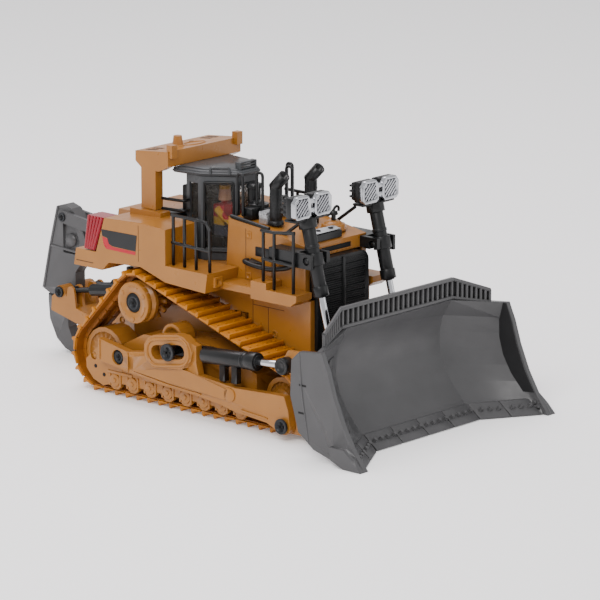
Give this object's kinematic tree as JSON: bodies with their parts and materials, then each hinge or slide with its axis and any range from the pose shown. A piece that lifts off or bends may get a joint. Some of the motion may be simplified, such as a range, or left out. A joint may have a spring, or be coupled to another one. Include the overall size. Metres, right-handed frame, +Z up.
{
  "type": "toy bulldozer",
  "caption": "Toy track-type bulldozer with a lifting and pitching U-blade, high-drive tracks, cab with roll-over canopy, work lamps and a lifting rear ripper.",
  "frame": {"origin": "on the ground beneath the middle of the bulldozer's overall box", "axes": "-Y is the front, where the blade faces; +X is the machine's left; +Z is up"},
  "size_m": [0.185, 0.357, 0.1622],
  "materials": {
    "ochre": "semi-gloss moulded plastic, ochre yellow",
    "track_orange": "soft satin plastic, golden orange",
    "blade_grey": "semi-gloss grey painted",
    "cab_grey": "satin dark grey plastic",
    "black_plastic": "satin black plastic",
    "chrome": "vacuum-plated bright plastic and plated steel rods",
    "lamp_red": "glossy red, ribbed",
    "clear_plastic": "clear moulded insert",
    "board_green": "printed circuit board",
    "gear_white": "natural white gearbox plastic",
    "figure_red": "painted figure, red vest and yellow sleeves"
  },
  "bodies": {
    "chassis": {"chassis_hull": "ochre", "upper_body": "ochre", "rops_canopy": "ochre", "track_frame_left": "ochre", "track_frame_right": "ochre", "fender_tank_left": "ochre", "fender_tank_right": "ochre", "track_belt_left": "track_orange", "track_belt_right": "track_orange", "cab_shell": "cab_grey", "cab_roof": "cab_grey", "bottom_cover": "black_plastic", "battery_pack": "black_plastic", "radiator_grille": "black_plastic", "hood_vent_box": "black_plastic", "pre_cleaner": "black_plastic", "driver_seat": "black_plastic", "front_handrail": "black_plastic", "exhaust_left": "black_plastic", "exhaust_right": "black_plastic", "rear_handrail_left": "black_plastic", "rear_handrail_right": "black_plastic", "trunnion_bracket_left": "black_plastic", "trunnion_bracket_right": "black_plastic", "tail_lamp_left": "lamp_red", "tail_lamp_right": "lamp_red", "cab_glazing": "clear_plastic", "circuit_board": "board_green", "drive_gearbox": "gear_white", "driver_figure": "figure_red"},
    "push_arms": {"push_arm_left": "ochre", "push_arm_right": "ochre"},
    "blade": {"blade": "blade_grey", "blade_guard": "blade_grey", "blade_bracket_left": "ochre", "blade_bracket_right": "ochre"},
    "ripper_frame": {"ripper_frame": "ochre"},
    "ripper_carriage": {"ripper_carriage": "blade_grey", "ripper_shank": "blade_grey"},
    "ripper_link": {"ripper_link": "blade_grey"},
    "power_switch": {"power_switch": "black_plastic"},
    "tilt_strut_left": {"tilt_strut_left": "black_plastic"},
    "lift_barrel_left": {"lift_barrel_left": "black_plastic", "work_lamps_left": "chrome"},
    "lift_rod_left": {"lift_rod_left": "chrome"},
    "sprocket_left": {"sprocket_left": "ochre"},
    "front_idler_left": {"front_idler_left": "ochre"},
    "rear_idler_left": {"rear_idler_left": "ochre"},
    "ripper_barrel_left": {"ripper_barrel_left": "black_plastic"},
    "ripper_rod_left": {"ripper_rod_left": "black_plastic"},
    "tilt_strut_right": {"tilt_strut_right": "black_plastic"},
    "lift_barrel_right": {"lift_barrel_right": "black_plastic", "work_lamps_right": "chrome"},
    "lift_rod_right": {"lift_rod_right": "chrome"},
    "sprocket_right": {"sprocket_right": "ochre"},
    "front_idler_right": {"front_idler_right": "ochre"},
    "rear_idler_right": {"rear_idler_right": "ochre"},
    "ripper_barrel_right": {"ripper_barrel_right": "black_plastic"},
    "ripper_rod_right": {"ripper_rod_right": "black_plastic"}
  },
  "joints": [
    {"name": "blade_lift", "type": "hinge", "parent": "chassis", "child": "push_arms", "pos_m": [0, 0.0458, 0.0284], "axis": [-1, 0, 0], "range_deg": [0, 12]},
    {"name": "blade_pitch", "type": "hinge", "parent": "push_arms", "child": "blade", "pos_m": [0, -0.0955, 0.0095], "axis": [-1, 0, 0], "range_deg": [-5, 5]},
    {"name": "ripper_lift", "type": "hinge", "parent": "chassis", "child": "ripper_frame", "pos_m": [0, 0.0905, 0.036], "axis": [1, 0, 0], "range_deg": [0, 20]},
    {"name": "ripper_carriage_pivot", "type": "hinge", "parent": "ripper_frame", "child": "ripper_carriage", "pos_m": [0, 0.1525, 0.044], "axis": [1, 0, 0], "range_deg": [-20, 0]},
    {"name": "ripper_link_pivot", "type": "hinge", "parent": "chassis", "child": "ripper_link", "pos_m": [0, 0.0945, 0.0845], "axis": [1, 0, 0], "range_deg": [0, 20]},
    {"name": "tilt_strut_pivot_left", "type": "hinge", "parent": "blade", "child": "tilt_strut_left", "pos_m": [0.0662, -0.095, 0.047], "axis": [-1, 0, 0], "range_deg": [-5, 5]},
    {"name": "lift_barrel_pivot_left", "type": "hinge", "parent": "chassis", "child": "lift_barrel_left", "pos_m": [0.0315, -0.0873, 0.106], "axis": [-1, 0, 0], "range_deg": [0, 3.3]},
    {"name": "lift_rod_slide_left", "type": "slide", "parent": "lift_barrel_left", "child": "lift_rod_left", "axis": [0, 0.2528, 0.9675], "range_m": [0, 0.0315]},
    {"name": "sprocket_turn_left", "type": "hinge", "parent": "chassis", "child": "sprocket_left", "pos_m": [0.045, 0.0405, 0.063], "axis": [1, 0, 0], "continuous": true},
    {"name": "front_idler_turn_left", "type": "hinge", "parent": "chassis", "child": "front_idler_left", "pos_m": [0.045, -0.0805, 0.021], "axis": [1, 0, 0], "continuous": true},
    {"name": "rear_idler_turn_left", "type": "hinge", "parent": "chassis", "child": "rear_idler_left", "pos_m": [0.045, 0.0725, 0.024], "axis": [1, 0, 0], "continuous": true},
    {"name": "ripper_barrel_pivot_left", "type": "hinge", "parent": "chassis", "child": "ripper_barrel_left", "pos_m": [0.01, 0.0875, 0.055], "axis": [1, 0, 0], "range_deg": [0, 18.9]},
    {"name": "ripper_rod_slide_left", "type": "slide", "parent": "ripper_barrel_left", "child": "ripper_rod_left", "axis": [0, 0.9869, -0.1615], "range_m": [-0.0069, 0]},
    {"name": "tilt_strut_pivot_right", "type": "hinge", "parent": "blade", "child": "tilt_strut_right", "pos_m": [-0.0662, -0.095, 0.047], "axis": [-1, 0, 0], "range_deg": [-5, 5]},
    {"name": "lift_barrel_pivot_right", "type": "hinge", "parent": "chassis", "child": "lift_barrel_right", "pos_m": [-0.0315, -0.0873, 0.106], "axis": [-1, 0, 0], "range_deg": [0, 3.3]},
    {"name": "lift_rod_slide_right", "type": "slide", "parent": "lift_barrel_right", "child": "lift_rod_right", "axis": [0, 0.2528, 0.9675], "range_m": [0, 0.0315]},
    {"name": "sprocket_turn_right", "type": "hinge", "parent": "chassis", "child": "sprocket_right", "pos_m": [-0.045, 0.0405, 0.063], "axis": [1, 0, 0], "continuous": true},
    {"name": "front_idler_turn_right", "type": "hinge", "parent": "chassis", "child": "front_idler_right", "pos_m": [-0.045, -0.0805, 0.021], "axis": [1, 0, 0], "continuous": true},
    {"name": "rear_idler_turn_right", "type": "hinge", "parent": "chassis", "child": "rear_idler_right", "pos_m": [-0.045, 0.0725, 0.024], "axis": [1, 0, 0], "continuous": true},
    {"name": "ripper_barrel_pivot_right", "type": "hinge", "parent": "chassis", "child": "ripper_barrel_right", "pos_m": [-0.01, 0.0875, 0.055], "axis": [1, 0, 0], "range_deg": [0, 18.9]},
    {"name": "ripper_rod_slide_right", "type": "slide", "parent": "ripper_barrel_right", "child": "ripper_rod_right", "axis": [0, 0.9869, -0.1615], "range_m": [-0.0069, 0]},
    {"name": "power_switch_slide", "type": "slide", "parent": "chassis", "child": "power_switch", "axis": [0, 1, 0], "range_m": [0, 0.006]}
  ],
  "couplings": [
    {"joint": "ripper_carriage_pivot", "follows": "ripper_lift", "ratio": -1},
    {"joint": "ripper_link_pivot", "follows": "ripper_lift", "ratio": 1},
    {"joint": "tilt_strut_pivot_left", "follows": "blade_pitch", "ratio": -1},
    {"joint": "lift_barrel_pivot_left", "follows": "blade_lift", "ratio": 0.263},
    {"joint": "lift_rod_slide_left", "follows": "blade_lift", "m_per_rad": 0.14931},
    {"joint": "front_idler_turn_left", "follows": "sprocket_turn_left", "ratio": 1},
    {"joint": "rear_idler_turn_left", "follows": "sprocket_turn_left", "ratio": 0.8286},
    {"joint": "ripper_barrel_pivot_left", "follows": "ripper_lift", "ratio": 0.9301},
    {"joint": "ripper_rod_slide_left", "follows": "ripper_lift", "m_per_rad": -0.0188},
    {"joint": "tilt_strut_pivot_right", "follows": "blade_pitch", "ratio": -1},
    {"joint": "lift_barrel_pivot_right", "follows": "blade_lift", "ratio": 0.263},
    {"joint": "lift_rod_slide_right", "follows": "blade_lift", "m_per_rad": 0.14931},
    {"joint": "front_idler_turn_right", "follows": "sprocket_turn_right", "ratio": 1},
    {"joint": "rear_idler_turn_right", "follows": "sprocket_turn_right", "ratio": 0.8286},
    {"joint": "ripper_barrel_pivot_right", "follows": "ripper_lift", "ratio": 0.9301},
    {"joint": "ripper_rod_slide_right", "follows": "ripper_lift", "m_per_rad": -0.0188}
  ]
}
